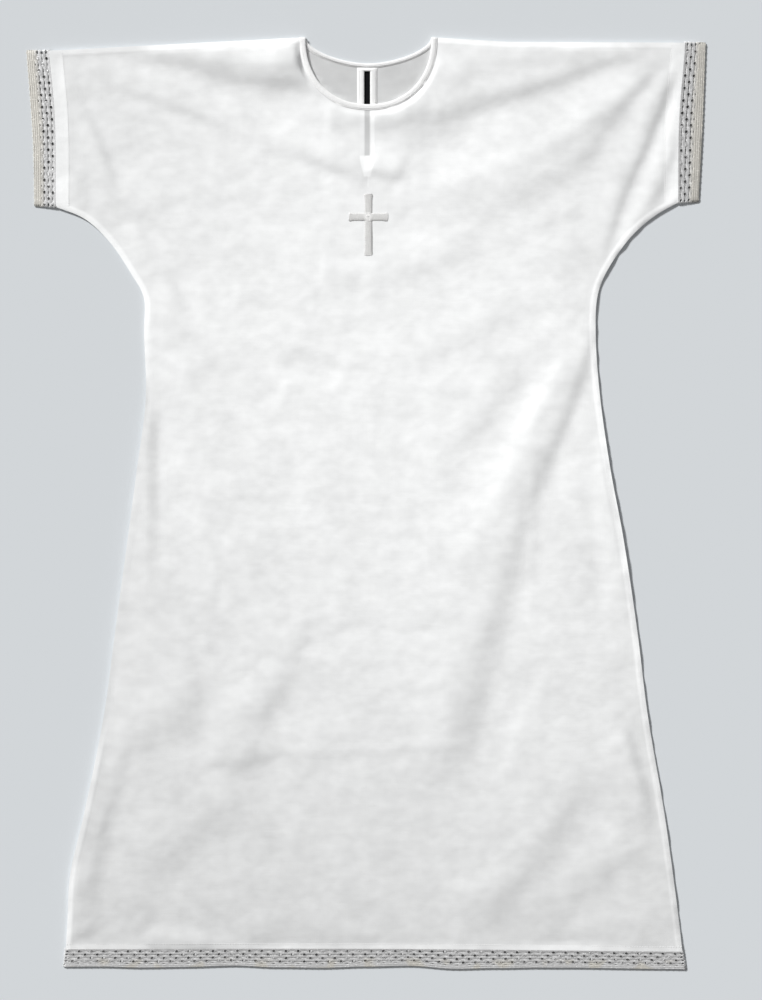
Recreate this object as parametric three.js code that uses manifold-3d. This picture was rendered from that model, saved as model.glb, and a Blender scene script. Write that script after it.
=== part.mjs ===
// Baptismal shirt of thin white cloth, laid flat: front and back panels with short kimono
// sleeves, a bound round neck, a bound slit at the back of the neck, silver lace round the
// cuffs and the hem, and a raised embroidered cross on the chest.
//
// Millimetres. The shirt lies face up on the plane z = 0, +X towards its right-hand sleeve as
// seen from above, +Y towards the shoulders. The origin is the middle of its outline.

import * as THREE from "three";
import { mergeVertices } from "three/addons/utils/BufferGeometryUtils.js";
import Module from "manifold-3d";

const wasm = await Module();
wasm.setup();

// ---- Driving dimensions ----------------------------------------------------------------

const CLOTH = 1.2; // wall of one layer of cloth
const SEAM_GAP = 0.3; // clearance between pieces that are sewn together
const LACE_WALL = 1.0;
const BINDING_WALL = 1.8; // folded binding, thicker than the cloth that it edges

const SHOULDER_Y = 550; // the neck points, the shirt's top
const NECK_X = 3; // the neck's centre line
const NECK_HALF_WIDTH = 74; // inside the binding
const NECK = {
  front: { drop: 78.5, power: 2.2, binding: 6 },
  back: { drop: 30.5, power: 1.7, binding: 4.5 },
};

// Bound slit at the back of the neck: the open gap, the binding round it, which is closed above
// the gap as it meets the neck binding, and the binding's pointed lower end.
const SLIT = {
  x: 1.4,
  gap: 6.8,
  binding: 7.3,
  top: 514.2,
  gapTop: 510.5,
  gapBottom: 411,
  shoulder: 407,
  tip: 387.5,
  tipWidth: 8,
};

// Latin cross embroidered on the chest: the crossing's place, the arms' reach from it, the width
// of a bar and of its flared end, and the reach of the octagon at the crossing.
const CROSS = {
  x: 2.7,
  y: 339,
  up: 27,
  down: 45,
  side: 23,
  bar: 8,
  end: 10.5,
  flare: 7,
  heart: 7.5,
  wall: 0.8,
};

// Air between the two layers: the loft in the middle of the shirt, the least along the neckline and
// over the slit's thick binding, and the most that a fold adds.
const LOFT = 1.6;
const NECK_LOFT = 0.8;
const SLIT_LOFT = 2.0;
const MOST_GAP = 3.7;
const MOST_BACK_LIFT = 3.0;

// Sections of the body from the hem up to the cuffs: the side seams' x and y at each.
const SECTIONS = [
  { at: "hem", left: [-353, -522], right: [372, -525] },
  { at: "above hem", left: [-351, -485], right: [367.5, -485] },
  { at: "hem curve", left: [-348, -435], right: [361.5, -438] },
  { at: "lower skirt", left: [-331, -360], right: [350.5, -360] },
  { at: "skirt", left: [-308, -245], right: [331, -245] },
  { at: "mid skirt", left: [-295, -148], right: [319, -148] },
  { at: "upper skirt", left: [-280, -38], right: [302.5, -38] },
  { at: "hip", left: [-269.5, 42], right: [287, 45] },
  { at: "waist", left: [-259, 125], right: [275, 130] },
  { at: "chest", left: [-261, 202], right: [270, 202] },
  { at: "armpit", left: [-261.5, 245], right: [272, 245] },
  { at: "underarm, low", left: [-276, 272], right: [281, 271] },
  { at: "underarm", left: [-301, 309], right: [310, 314] },
  { at: "underarm, high", left: [-331, 337], right: [339, 340] },
  { at: "cuff", left: [-365, 351], right: [367, 356] },
];

// Shoulder seams, from the cuff to the neck on the left and from the neck to the cuff on the right.
const SHOULDERS = {
  left: [[-373, 534.5], [-77.3, SHOULDER_Y]],
  right: [[83.3, SHOULDER_Y], [167, 545], [375.5, 544]],
};

// Lace trims, by the edge that is sewn on and the free edge, each from its low or left end.
const LACES = [
  {
    name: "cuff_lace_left",
    sewn: [[-365, 351], [-366, 455], [-373, 534.5]],
    free: [[-390.5, 353], [-392, 425], [-399.8, 534]],
    steps: 10,
  },
  {
    name: "cuff_lace_right",
    sewn: [[367, 356], [368, 450], [375.5, 544]],
    free: [[391.5, 358], [396, 440], [399.8, 543]],
    steps: 10,
  },
  {
    name: "hem_lace",
    sewn: [[-353, -522], [9, -521.5], [372, -525]],
    free: [[-355.5, -547], [9, -545], [376.5, -550]],
    steps: 30,
  },
];

// Folds of the front: the line that each follows, its half width at the start and at the end,
// and how far it lifts the cloth (a trough is negative).
const FRONT_FOLDS = [
  { name: "left shoulder trough", from: 16, to: 32, lift: -2.0,
    path: [[-295, 529], [-184, 511], [-78, 488]] },
  { name: "left chest trough", from: 16, to: 30, lift: -1.2,
    path: [[-318, 512], [-206, 459], [-50, 395]] },
  { name: "left cuff crease", from: 16, to: 24, lift: -1.6,
    path: [[-352, 500], [-306, 415], [-213, 219]] },
  { name: "left armpit trough", from: 18, to: 30, lift: -1.4,
    path: [[-276, 324], [-226, 247], [-168, 144]] },
  { name: "left waist trough", from: 16, to: 26, lift: -1.5,
    path: [[-258, 219], [-213, 174], [-172, 140]] },
  { name: "left side ridge", from: 20, to: 34, lift: 1.6,
    path: [[-250, 110], [-254, -50], [-262, -215]] },
  { name: "left side trough", from: 18, to: 60, lift: -1.6,
    path: [[-236, 100], [-225, -17], [-195, -158], [-146, -292]] },
  { name: "right shoulder trough", from: 34, to: 16, lift: -2.0,
    path: [[60, 455], [171, 471], [245, 497], [351, 527]] },
  { name: "right chest ridge", from: 30, to: 18, lift: 1.9,
    path: [[70, 385], [140, 406], [245, 452], [330, 500]] },
  { name: "right chest trough", from: 28, to: 16, lift: -2.0,
    path: [[75, 350], [207, 392], [275, 444], [358, 512]] },
  { name: "right breast trough", from: 26, to: 20, lift: -1.1,
    path: [[80, 291], [215, 317], [262, 345]] },
  { name: "right sleeve ridge", from: 24, to: 16, lift: 1.5,
    path: [[275, 371], [322, 453], [360, 515]] },
  { name: "right cuff crease", from: 14, to: 18, lift: -2.2,
    path: [[362, 504], [335, 444], [309, 370], [282, 294]] },
  { name: "right diagonal ridge", from: 20, to: 56, lift: 2.2,
    path: [[250, 190], [207, 128], [155, 39], [49, -81]] },
  { name: "right side trough", from: 16, to: 62, lift: -2.4,
    path: [[260, 200], [228, 106], [162, -58], [95, -307]] },
  { name: "right skirt ridge", from: 24, to: 48, lift: 1.5,
    path: [[264, 150], [264, 30], [228, -135], [205, -300]] },
  { name: "right hem trough", from: 40, to: 46, lift: -1.5,
    path: [[231, -307], [181, -406], [140, -494]] },
  { name: "left hem trough", from: 36, to: 48, lift: -1.2,
    path: [[-86, -235], [-146, -292], [-220, -390]] },
  { name: "hem ridge", from: 40, to: 50, lift: 1.2,
    path: [[-120, -430], [-190, -490], [-215, -520]] },
];

// Folds that the back layer makes under the front's deepest ones.
const BACK_FOLDS = [
  { name: "right diagonal ridge", from: 34, to: 66, lift: 2.8,
    path: [[232, 160], [155, 39], [60, -75]] },
  { name: "left side ridge", from: 34, to: 48, lift: 2.0,
    path: [[-238, 90], [-240, -60], [-248, -215]] },
  { name: "right chest ridge", from: 36, to: 28, lift: 1.6,
    path: [[190, 425], [250, 455], [320, 492]] },
  { name: "lower left ridge", from: 60, to: 60, lift: 1.8,
    path: [[-40, -300], [-110, -380], [-150, -470]] },
];

// Mesh density: steps along a side seam, a cuff, a shoulder and a neckline. The neck bindings
// have the same steps as the panels that they edge.
const BODY_ROWS = { front: 46, back: 24 };
const SLEEVE_ROWS = 8;
const SHOULDER_COLUMNS = 9;
const NECK_COLUMNS = 18;

const COLOURS = { cloth: 0xf4f4f2, binding: 0xfbfbfa, lace: 0xa9abae, thread: 0xb9babd };

// ---- Small helpers ---------------------------------------------------------------------

const point = ([x, y]) => new THREE.Vector3(x, y, 0);
const smooth = (low, high, value) => THREE.MathUtils.smoothstep(value, low, high);
const mix = THREE.MathUtils.lerp;

function curveThrough(points) {
  return new THREE.CatmullRomCurve3(points.map(point), false, "centripetal");
}

// Limits a value to between low and high, with the corners rounded off.
function softClamp(value, low, high) {
  const round = 0.25;
  const raised = low + (value - low + Math.hypot(value - low, round)) / 2;
  return high - (high - raised + Math.hypot(high - raised, round)) / 2;
}

// Distance from a point to a chain of points, and how far along the chain the nearest place is.
function nearest(chain, x, y) {
  let best = { distance: Infinity, along: 0 };
  for (let i = 0; i + 1 < chain.length; i++) {
    const [a, b] = [chain[i], chain[i + 1]];
    const [dx, dy] = [b.x - a.x, b.y - a.y];
    const reach = ((x - a.x) * dx + (y - a.y) * dy) / (dx * dx + dy * dy);
    const share = THREE.MathUtils.clamp(reach, 0, 1);
    const distance = Math.hypot(x - a.x - share * dx, y - a.y - share * dy);
    if (distance < best.distance) best = { distance, along: (i + share) / (chain.length - 1) };
  }
  return best;
}

// ---- Outline ---------------------------------------------------------------------------

// Neckline of the front or the back, from the left neck point to the right, moved out by offset.
function neckline(side, offset, steps) {
  const { drop, power } = NECK[side];
  const at = (turn) => {
    const [c, s] = [Math.cos(turn), Math.sin(turn)];
    const reach = (value) => Math.sign(value) * Math.abs(value) ** (2 / power);
    return [NECK_X - NECK_HALF_WIDTH * reach(c), SHOULDER_Y - drop * reach(s)];
  };
  const points = [];
  for (let i = 0; i <= steps; i++) {
    const turn = (Math.PI * i) / steps;
    const [x, y] = at(turn);
    const nudge = 1e-3;
    const [x0, y0] = at(Math.max(turn - nudge, 0));
    const [x1, y1] = at(Math.min(turn + nudge, Math.PI));
    const length = Math.hypot(x1 - x0, y1 - y0);
    const ends = i === 0 || i === steps; // the ends keep to the shoulder line
    const endNormal = [i === 0 ? -1 : 1, 0];
    const [nx, ny] = ends ? endNormal : [(y1 - y0) / length, -(x1 - x0) / length];
    points.push(new THREE.Vector3(x + nx * offset, y + ny * offset, 0));
  }
  return points;
}

const sideLeft = curveThrough(SECTIONS.map((section) => section.left));
const sideRight = curveThrough(SECTIONS.map((section) => section.right));
const cuffLeft = curveThrough(LACES[0].sewn);
const cuffRight = curveThrough(LACES[1].sewn);
const hemCurve = curveThrough(LACES[2].sewn);

// Seams that hold the two layers together: the sides, the cuffs and the shoulders.
const SEAM_STEPS = 60;
const seams = [
  [...sideLeft.getPoints(SEAM_STEPS), ...cuffLeft.getPoints(8), ...SHOULDERS.left.map(point)],
  [
    ...sideRight.getPoints(SEAM_STEPS),
    ...cuffRight.getPoints(8),
    ...SHOULDERS.right.map(point).reverse(),
  ],
];

// ---- Height of the two layers ----------------------------------------------------------

const FOLD_STEPS = 24;
const withChain = (fold) => ({ ...fold, chain: curveThrough(fold.path).getPoints(FOLD_STEPS) });
const frontFolds = FRONT_FOLDS.map(withChain);
const backFolds = BACK_FOLDS.map(withChain);
const frontNeck = neckline("front", 0, NECK_COLUMNS);
const slitLine = [point([SLIT.x, SLIT.top]), point([SLIT.x, SLIT.tip - 20])];

// What a fold adds at a point: a rounded bell across it, fading out towards both of its ends.
function foldLift(fold, x, y) {
  const { distance, along } = nearest(fold.chain, x, y);
  const half = mix(fold.from, fold.to, along);
  if (distance >= half) return 0;
  const bell = (1 + Math.cos((Math.PI * distance) / half)) / 2;
  return fold.lift * bell * smooth(0, 0.15, along) * smooth(0, 0.3, 1 - along);
}

const seamDistance = (x, y) => Math.min(...seams.map((seam) => nearest(seam, x, y).distance));

// Height of the back layer's underside. It is zero, on the ground, but for a few shallow folds.
function backHeight(x, y) {
  const still = smooth(60, 150, Math.abs(x - NECK_X)) + smooth(0, 60, 340 - y); // flat round the neck
  const raw = backFolds.reduce((sum, fold) => sum + foldLift(fold, x, y), 0);
  return Math.min(raw, MOST_BACK_LIFT) * Math.min(still, 1) * smooth(8, 40, seamDistance(x, y));
}

// Air between the back layer and the front layer.
function gapBetween(x, y) {
  const seam = seamDistance(x, y);
  const fromHem = y - hemCurve.getPoint(0.5).y;
  const quiet = smooth(36, 72, Math.hypot(x - CROSS.x, y - CROSS.y)); // flat under the cross
  const folds = frontFolds.reduce((sum, fold) => sum + foldLift(fold, x, y), 0) * quiet;
  const loft = LOFT * smooth(0, 55, seam);
  const hemFade = mix(0.35, 1, smooth(0, 70, fromHem));
  const free = softClamp((loft + folds * smooth(0, 22, seam)) * hemFade, 0, MOST_GAP);
  const neckEdge = NECK_LOFT * (1 - smooth(14, 50, nearest(frontNeck, x, y).distance));
  const overSlit = SLIT_LOFT * (1 - smooth(40, 80, nearest(slitLine, x, y).distance));
  return Math.max(free, neckEdge, overSlit);
}

const frontHeight = (x, y) => backHeight(x, y) + CLOTH + SEAM_GAP + gapBetween(x, y);

// ---- Solids ----------------------------------------------------------------------------

// A closed wall over a grid of points: a lower skin, an upper skin and the rim between them.
function wallOver(grid, lower, upper) {
  const [rows, columns] = [grid.length, grid[0].length];
  const positions = [];
  for (const skin of [lower, upper])
    for (const row of grid) for (const p of row) positions.push(p.x, p.y, skin(p.x, p.y));
  const index = [];
  const id = (skin, row, column) => (skin * rows + row) * columns + column;
  const quad = (a, b, c, d) => index.push(a, b, c, a, c, d);
  for (let r = 0; r + 1 < rows; r++)
    for (let c = 0; c + 1 < columns; c++) {
      quad(id(1, r, c), id(1, r, c + 1), id(1, r + 1, c + 1), id(1, r + 1, c));
      const [p, q, s, t] = [id(0, r, c), id(0, r, c + 1), id(0, r + 1, c + 1), id(0, r + 1, c)];
      index.push(p, s, q, p, t, s);
    }
  for (let c = 0; c + 1 < columns; c++) {
    quad(id(0, 0, c), id(0, 0, c + 1), id(1, 0, c + 1), id(1, 0, c));
    quad(id(0, rows - 1, c + 1), id(0, rows - 1, c), id(1, rows - 1, c), id(1, rows - 1, c + 1));
  }
  for (let r = 0; r + 1 < rows; r++) {
    quad(id(0, r + 1, 0), id(0, r, 0), id(1, r, 0), id(1, r + 1, 0));
    const end = columns - 1;
    quad(id(0, r, end), id(0, r + 1, end), id(1, r + 1, end), id(1, r, end));
  }
  const geometry = new THREE.BufferGeometry();
  geometry.setAttribute("position", new THREE.Float32BufferAttribute(positions, 3));
  geometry.setIndex(index);
  return geometry;
}

// Grid of a panel in plan, row by row from the hem to the shoulders and the neckline.
function panelGrid(side) {
  const grid = [];
  const columns = 2 * SHOULDER_COLUMNS + NECK_COLUMNS;
  const across = (left, right) =>
    Array.from({ length: columns + 1 }, (_, i) => left.clone().lerp(right, i / columns));
  for (let r = 0; r <= BODY_ROWS[side]; r++) {
    const s = r / BODY_ROWS[side];
    const t = sideLeft.getUtoTmapping(s);
    const row = across(sideLeft.getPoint(t), sideRight.getPoint(t));
    const hem = row.map((_, i) => hemCurve.getPoint(i / columns));
    const straight = across(hem[0], hem[columns]);
    grid.push(row.map((p, i) => p.addScaledVector(hem[i].sub(straight[i]), (1 - s) ** 3)));
  }
  const lowest = grid.at(-1);
  const highest = [
    ...shoulderPoints(SHOULDERS.left).slice(0, -1),
    ...neckline(side, NECK[side].binding + SEAM_GAP, NECK_COLUMNS),
    ...shoulderPoints(SHOULDERS.right).slice(1),
  ];
  for (let r = 1; r <= SLEEVE_ROWS; r++) {
    const s = r / SLEEVE_ROWS;
    const straight = lowest.map((p, i) => p.clone().lerp(highest[i], s));
    const pullLeft = cuffLeft.getPoint(s).sub(straight[0]);
    const pullRight = cuffRight.getPoint(s).sub(straight[columns]);
    const settled = straight.map((p, i) =>
      p.clone().addScaledVector(pullLeft, 1 - i / columns).addScaledVector(pullRight, i / columns),
    );
    grid.push(r === SLEEVE_ROWS ? highest : settled);
  }
  return grid;
}

function shoulderPoints(seam) {
  const path = new THREE.CurvePath();
  for (let i = 0; i + 1 < seam.length; i++)
    path.add(new THREE.LineCurve3(point(seam[i]), point(seam[i + 1])));
  return path.getSpacedPoints(SHOULDER_COLUMNS);
}

function frontPanel() {
  return wallOver(panelGrid("front"), frontHeight, (x, y) => frontHeight(x, y) + CLOTH);
}

// The back is the same wall on the ground, with the slit cut down from its neckline.
function backPanel() {
  const upper = (x, y) => backHeight(x, y) + CLOTH;
  const panel = solidFrom(wallOver(panelGrid("back"), backHeight, upper));
  const cutDepth = 40;
  const outline = new THREE.Shape(slitOutline(SEAM_GAP, SHOULDER_Y));
  const cut = new THREE.ExtrudeGeometry(outline, { depth: cutDepth, bevelEnabled: false });
  cut.translate(0, 0, -cutDepth / 2);
  return geometryFrom(panel.subtract(solidFrom(cut)));
}

// Outer outline of the slit's binding, grown by a clearance, from its top left to its top right.
function slitOutline(grow, top) {
  const half = SLIT.gap / 2 + SLIT.binding + grow;
  const tipHalf = SLIT.tipWidth / 2 + grow;
  const corners = [
    [-half, top],
    [-half, SLIT.shoulder],
    [-tipHalf, SLIT.tip - grow],
    [tipHalf, SLIT.tip - grow],
    [half, SLIT.shoulder],
    [half, top],
  ];
  return corners.map(([x, y]) => new THREE.Vector2(SLIT.x + x, y));
}

function slitBinding() {
  const inner = SLIT.gap / 2;
  const gap = [
    [inner, SLIT.gapTop],
    [inner, SLIT.gapBottom],
    [-inner, SLIT.gapBottom],
    [-inner, SLIT.gapTop],
  ].map(([x, y]) => new THREE.Vector2(SLIT.x + x, y));
  const shape = new THREE.Shape(slitOutline(0, SLIT.top));
  shape.holes.push(new THREE.Path(gap));
  return new THREE.ExtrudeGeometry(shape, { depth: BINDING_WALL, bevelEnabled: false });
}

// Binding of a neckline: a strip between the open edge and the cloth's edge.
function neckBinding(side, underside) {
  const sewn = neckline(side, NECK[side].binding, NECK_COLUMNS);
  const open = neckline(side, 0, NECK_COLUMNS);
  return wallOver([sewn, open], underside, (x, y) => underside(x, y) + BINDING_WALL);
}

// A lace trim closed into a ring and pressed flat: a lower layer on the ground, an upper layer
// under the front's edge, and a fold at each end.
function laceRing({ sewn, free, steps }) {
  const edges = [curveThrough(sewn), curveThrough(free)];
  const fold = { inner: 0.3, outer: 0.3 + LACE_WALL };
  const loop = [];
  for (let i = 0; i <= steps; i++) loop.push({ s: i / steps, layer: "lower", bulge: 0 });
  loop.push({ s: 1, layer: "fold", bulge: 1 });
  for (let i = steps; i >= 0; i--) loop.push({ s: i / steps, layer: "upper", bulge: 0 });
  loop.push({ s: 0, layer: "fold", bulge: -1 });

  const skinPoint = ({ s, layer, bulge }, edge, skin) => {
    const p = edges[edge].getPoint(s);
    const seam = edges[0].getPoint(s);
    const clearance = edges[1].getPoint(s).sub(seam).setLength(edge ? 0 : SEAM_GAP);
    const along = edges[0].getTangent(s).multiplyScalar(bulge * fold[skin]);
    const under = frontHeight(seam.x, seam.y);
    const heights = {
      lower: { outer: 0, inner: LACE_WALL },
      upper: { outer: under + LACE_WALL, inner: under },
      fold: { outer: (under + LACE_WALL) / 2, inner: (under + LACE_WALL) / 2 },
    };
    return p.add(clearance).add(along).setZ(heights[layer][skin]);
  };
  const rings = [
    loop.map((at) => skinPoint(at, 0, "outer")),
    loop.map((at) => skinPoint(at, 1, "outer")),
    loop.map((at) => skinPoint(at, 1, "inner")),
    loop.map((at) => skinPoint(at, 0, "inner")),
  ];
  const across = edges[1].getPoint(0).sub(edges[0].getPoint(0));
  return closedRing(rings, edges[0].getTangent(0).cross(across).z < 0);
}

// A ring-shaped solid from four loops of points, the corners of its section taken in turn.
function closedRing(rings, reverse) {
  const count = rings[0].length;
  const positions = rings.flatMap((ring) => ring.flatMap((p) => p.toArray()));
  const index = [];
  for (let corner = 0; corner < rings.length; corner++)
    for (let i = 0; i < count; i++) {
      const [j, next] = [(i + 1) % count, (corner + 1) % rings.length];
      const [a, b] = [corner * count + i, corner * count + j];
      const [c, d] = [next * count + j, next * count + i];
      if (reverse) index.push(a, b, c, a, c, d);
      else index.push(a, c, b, a, d, c);
    }
  const geometry = new THREE.BufferGeometry();
  geometry.setAttribute("position", new THREE.Float32BufferAttribute(positions, 3));
  geometry.setIndex(index);
  return geometry;
}

// Cross of four flared bars about a small octagon, a little above the front.
function chestCross() {
  const { up, down, side, bar, end, flare, heart, wall } = CROSS;
  const arms = [
    { reach: side, turn: 0 },
    { reach: up, turn: Math.PI / 2 },
    { reach: side, turn: Math.PI },
    { reach: down, turn: -Math.PI / 2 },
  ];
  const outline = arms.flatMap(({ reach, turn }) =>
    [
      [heart, -bar / 2],
      [reach - flare, -bar / 2],
      [reach, -end / 2],
      [reach, end / 2],
      [reach - flare, bar / 2],
      [heart, bar / 2],
    ].map(([x, y]) => new THREE.Vector2(x, y).rotateAround(new THREE.Vector2(), turn)),
  );
  const shape = new THREE.Shape(outline);
  const cross = new THREE.ExtrudeGeometry(shape, { depth: wall, bevelEnabled: false });
  return cross.translate(CROSS.x, CROSS.y, frontHeight(CROSS.x, CROSS.y) + CLOTH + SEAM_GAP);
}

function solidFrom(geometry) {
  const bare = geometry.clone();
  bare.deleteAttribute("normal");
  bare.deleteAttribute("uv");
  const merged = mergeVertices(bare, 1e-4);
  return new wasm.Manifold(
    new wasm.Mesh({
      numProp: 3,
      vertProperties: merged.attributes.position.array,
      triVerts: new Uint32Array(merged.index.array),
    }),
  );
}

function geometryFrom(solid) {
  const mesh = solid.getMesh();
  const geometry = new THREE.BufferGeometry();
  geometry.setAttribute("position", new THREE.BufferAttribute(mesh.vertProperties, 3));
  geometry.setIndex(new THREE.BufferAttribute(mesh.triVerts, 1));
  return geometry;
}

// ---- The shirt -------------------------------------------------------------------------

const finish = {
  cloth: new THREE.MeshStandardMaterial({ color: COLOURS.cloth, roughness: 0.9, metalness: 0 }),
  binding: new THREE.MeshStandardMaterial({ color: COLOURS.binding, roughness: 0.8, metalness: 0 }),
  lace: new THREE.MeshStandardMaterial({ color: COLOURS.lace, roughness: 0.45, metalness: 0.5 }),
  thread: new THREE.MeshStandardMaterial({ color: COLOURS.thread, roughness: 0.4, metalness: 0.4 }),
};

const shirt = new THREE.Group();
shirt.name = "baptismal_shirt";

function add(name, geometry, material) {
  const mesh = new THREE.Mesh(geometry, material);
  mesh.name = name;
  mesh.geometry.computeVertexNormals();
  shirt.add(mesh);
}

add("front_panel", frontPanel(), finish.cloth);
add("back_panel", backPanel(), finish.cloth);
add("neck_binding_front", neckBinding("front", frontHeight), finish.binding);
add("neck_binding_back", neckBinding("back", () => 0), finish.binding);
add("slit_binding", slitBinding(), finish.binding);
for (const lace of LACES) add(lace.name, laceRing(lace), finish.lace);
add("chest_cross", chestCross(), finish.thread);

export default shirt;
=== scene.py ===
"""A baptismal shirt laid flat: its cloth, bindings, lace and embroidery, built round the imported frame.

The tables are in millimetres, in the frame's own axes: +X to the right as the front is seen, +Y
from the hem to the shoulders, +Z up off the surface that the shirt lies on.
"""

import math

import bmesh
import bpy
import numpy as np
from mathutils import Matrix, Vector


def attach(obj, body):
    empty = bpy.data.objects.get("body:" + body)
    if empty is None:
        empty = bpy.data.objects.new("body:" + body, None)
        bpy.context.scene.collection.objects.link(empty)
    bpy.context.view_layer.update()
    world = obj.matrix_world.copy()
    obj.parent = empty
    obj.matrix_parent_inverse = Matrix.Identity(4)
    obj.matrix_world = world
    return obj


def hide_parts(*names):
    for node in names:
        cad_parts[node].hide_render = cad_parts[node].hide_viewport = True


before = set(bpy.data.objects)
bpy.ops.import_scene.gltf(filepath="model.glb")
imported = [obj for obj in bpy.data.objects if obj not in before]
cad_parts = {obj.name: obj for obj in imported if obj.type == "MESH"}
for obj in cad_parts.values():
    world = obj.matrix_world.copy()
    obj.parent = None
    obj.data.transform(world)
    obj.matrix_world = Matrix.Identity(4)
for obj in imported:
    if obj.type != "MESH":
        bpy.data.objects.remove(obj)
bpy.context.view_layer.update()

MM = 0.001
UP = np.array([0.0, 0.0, 1.0])

# ---- Sizes, in millimetres -------------------------------------------------------------------

CLOTH = 1.2  # wall of a panel in the solid model
SEAM_GAP = 0.3  # clearance between the solid model's pieces
FABRIC = 0.5  # thickness of the cloth as it is drawn
BINDING = 1.8  # thickness of a binding
TAPE_TOP = BINDING * 0.98  # height of the stitches on it
LOFT = 1.6  # air between the layers in the middle of the shirt
NECK_LOFT = 0.8  # the least along the neckline
SLIT_LOFT = 2.0  # the least over the slit's binding
MOST_GAP = 3.7  # the most under a fold of the front
MOST_BACK_LIFT = 3.0
MOST_BACK_CREASE = 0.8
SEAM_EDGE = 1.7  # height at which the two layers meet along a sewn seam
SEAM_ALLOWANCE = 7.5
CUFF_HEM = 15.5  # width of the sleeves' turned hems
HEM_ALLOWANCE = 5.5
LACE_REPEAT = 14.4  # length of the lace's pattern

SHOULDER_Y = 550
HEM_Y = -521.5
NECK_X = 3
NECK_HALF_WIDTH = 74
NECK = {
    "front": {"drop": 78.5, "power": 2.2, "binding": 6.0},
    "back": {"drop": 30.5, "power": 1.7, "binding": 4.5},
}
SLIT = {"x": 1.4, "gap": 6.8, "binding": 7.3, "top": 514.2, "gap_top": 510.5, "gap_bottom": 411,
        "shoulder": 407, "tip": 387.5, "tip_width": 8}
CROSS = {"x": 2.7, "y": 339, "up": 27, "down": 45, "side": 23, "bar": 9, "end": 10.8, "flare": 7}

# Side seams from the hem up to the cuffs.
LEFT_SIDE = [
    (-353, -522), (-351, -485), (-348, -435), (-331, -360), (-308, -245), (-295, -148), (-280, -38),
    (-269.5, 42), (-259, 125), (-261, 202), (-261.5, 245), (-276, 272), (-301, 309), (-331, 337),
    (-365, 351),
]
RIGHT_SIDE = [
    (372, -525), (367.5, -485), (361.5, -438), (350.5, -360), (331, -245), (319, -148), (302.5, -38),
    (287, 45), (275, 130), (270, 202), (272, 245), (281, 271), (310, 314), (339, 340), (367, 356),
]
LEFT_SHOULDER = [(-373, 534.5), (-77.3, SHOULDER_Y)]
RIGHT_SHOULDER = [(83.3, SHOULDER_Y), (167, 545), (375.5, 544)]

# Lace trims: the edge that is sewn on and the free edge, from the low or the left end.
LACES = {
    "cuff_lace_left": {
        "sewn": [(-365, 351), (-366, 455), (-373, 534.5)],
        "free": [(-390.5, 353), (-392, 425), (-399.8, 534)],
    },
    "cuff_lace_right": {
        "sewn": [(367, 356), (368, 450), (375.5, 544)],
        "free": [(391.5, 358), (396, 440), (399.8, 543)],
    },
    "hem_lace": {
        "sewn": [(-353, -522), (9, -521.5), (372, -525)],
        "free": [(-355.5, -547), (9, -545), (376.5, -550)],
    },
}

# The front's folds: path, half width at its start and its end, lift (a trough is negative), and
# how much of a shoulder the cloth raises on each side of it.
FRONT_FOLDS = [
    # path, start, end, lift, shoulder
    ([(-295, 529), (-184, 511), (-78, 488)], 16, 32, -2.0, 0.3),
    ([(-318, 512), (-206, 459), (-50, 395)], 16, 30, -1.2, 0.2),
    ([(-352, 500), (-306, 415), (-213, 219)], 16, 24, -1.6, 0.5),
    ([(-276, 324), (-226, 247), (-168, 144)], 18, 30, -1.4, 0.3),
    ([(-258, 219), (-213, 174), (-172, 140)], 16, 26, -1.5, 0.3),
    ([(-250, 110), (-254, -50), (-262, -215)], 20, 34, 1.6, 0.2),
    ([(-236, 100), (-225, -17), (-195, -158), (-146, -292)], 18, 60, -1.6, 0.2),
    ([(60, 455), (171, 471), (245, 497), (351, 527)], 34, 16, -2.0, 0.3),
    ([(70, 385), (140, 406), (245, 452), (330, 500)], 30, 18, 1.9, 0.2),
    ([(75, 350), (207, 392), (275, 444), (358, 512)], 28, 16, -2.0, 0.3),
    ([(80, 291), (215, 317), (262, 345)], 26, 20, -1.1, 0.2),
    ([(275, 371), (322, 453), (360, 515)], 24, 16, 1.5, 0.2),
    ([(362, 504), (335, 444), (309, 370), (282, 294)], 14, 18, -2.2, 0.4),
    ([(250, 190), (207, 128), (155, 39), (49, -81)], 20, 56, 2.2, 0.2),
    ([(260, 200), (228, 106), (162, -58), (95, -307)], 16, 62, -2.4, 0.3),
    ([(264, 150), (264, 30), (228, -135), (205, -300)], 24, 48, 1.5, 0.2),
    ([(231, -307), (181, -406), (140, -494)], 40, 46, -1.5, 0.2),
    ([(-86, -235), (-146, -292), (-220, -390)], 36, 48, -1.2, 0.2),
    ([(-120, -430), (-190, -490), (-215, -520)], 40, 50, 1.2, 0.2),
]
BACK_FOLDS = [
    ([(232, 160), (155, 39), (60, -75)], 34, 66, 2.8, 0),
    ([(-238, 90), (-240, -60), (-248, -215)], 34, 48, 2.0, 0),
    ([(190, 425), (250, 455), (320, 492)], 36, 28, 1.6, 0),
    ([(-40, -300), (-110, -380), (-150, -470)], 60, 60, 1.8, 0),
]

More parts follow.
